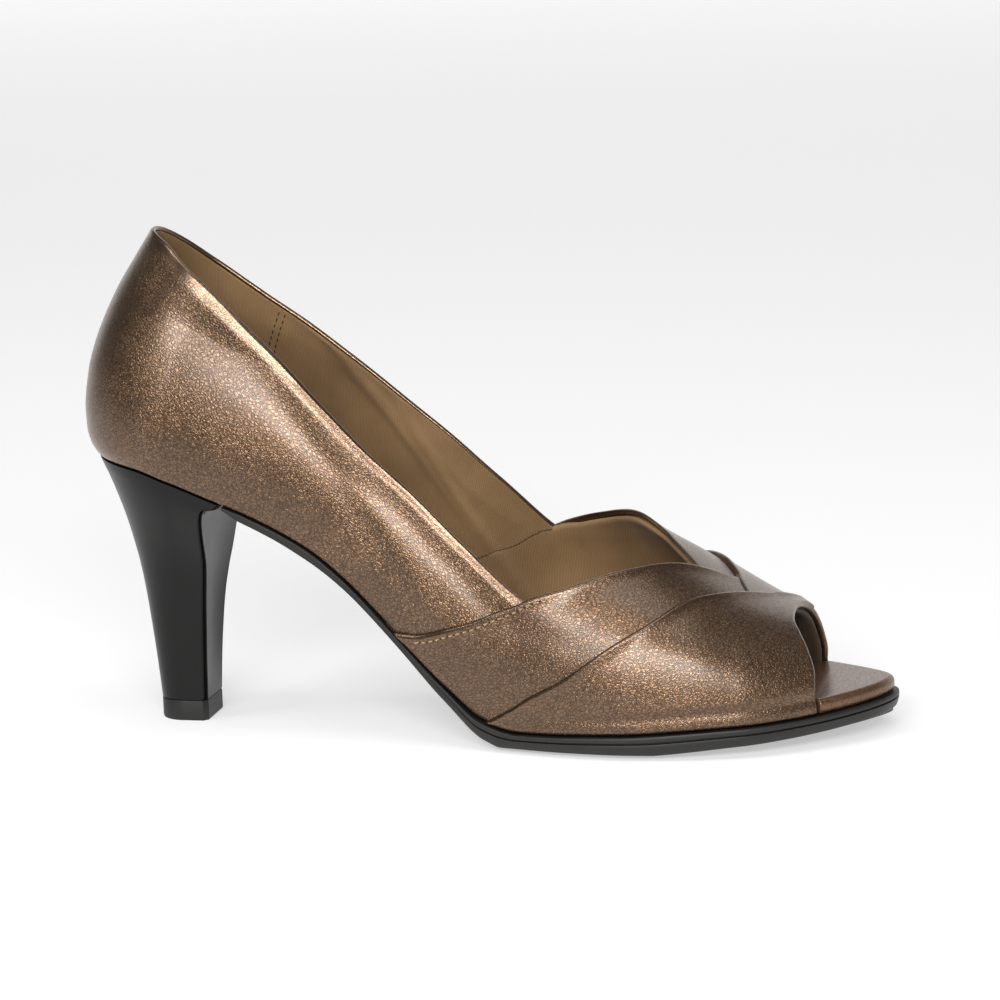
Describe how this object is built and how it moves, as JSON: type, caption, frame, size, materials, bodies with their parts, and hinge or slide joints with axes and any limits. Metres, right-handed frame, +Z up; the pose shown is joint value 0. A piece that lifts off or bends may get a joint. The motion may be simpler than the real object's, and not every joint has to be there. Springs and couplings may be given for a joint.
{
  "type": "peep toe pump",
  "caption": "Women's pump with a low-cut collar, crossed vamp bands, an open toe, a tapered high heel and a thin grooved sole.",
  "frame": {"origin": "middle of the shoe's box at the floor it stands on", "axes": "+X towards the toe, +Y towards the inner side of this right shoe, +Z up"},
  "size_m": [0.2373, 0.0824, 0.1465],
  "materials": {
    "upper_leather": "bronze metallic grained leather",
    "insole_leather": "bronze leather over a board",
    "sole_rubber": "matt black moulded rubber",
    "heel_plastic": "black moulded plastic, satin",
    "top_piece_rubber": "black wearing rubber"
  },
  "bodies": {
    "root": {"upper": "upper_leather", "insole": "insole_leather", "outsole": "sole_rubber", "heel": "heel_plastic", "top_piece": "top_piece_rubber"}
  },
  "joints": []
}
